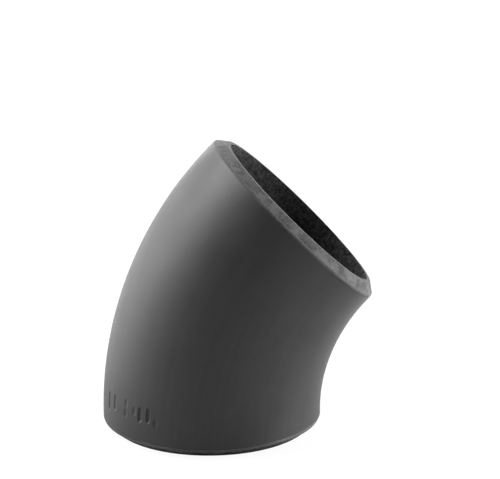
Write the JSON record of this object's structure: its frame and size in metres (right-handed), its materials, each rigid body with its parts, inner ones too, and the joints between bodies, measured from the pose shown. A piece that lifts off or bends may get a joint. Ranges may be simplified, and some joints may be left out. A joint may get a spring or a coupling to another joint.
{
  "type": "conduit elbow",
  "caption": "Short butt-weld steel elbow that turns a conduit or pipe run through 45 degrees, with a weld bevel at each end and a dark coat inside and out.",
  "frame": {"origin": "centre of the lower mouth, in the plane of its land", "axes": "+Z along the lower end's axis into the elbow, +X towards the side the bend turns to, +Y across the bend, so the bend lies in XZ"},
  "size_m": [0.0749, 0.0606, 0.0796],
  "materials": {
    "steel": "machined",
    "coat": "satin",
    "bore_coat": "rough"
  },
  "bodies": {
    "root": {"steel_wall": "steel", "outer_coat": "coat", "bore_coat": "bore_coat"}
  },
  "joints": []
}
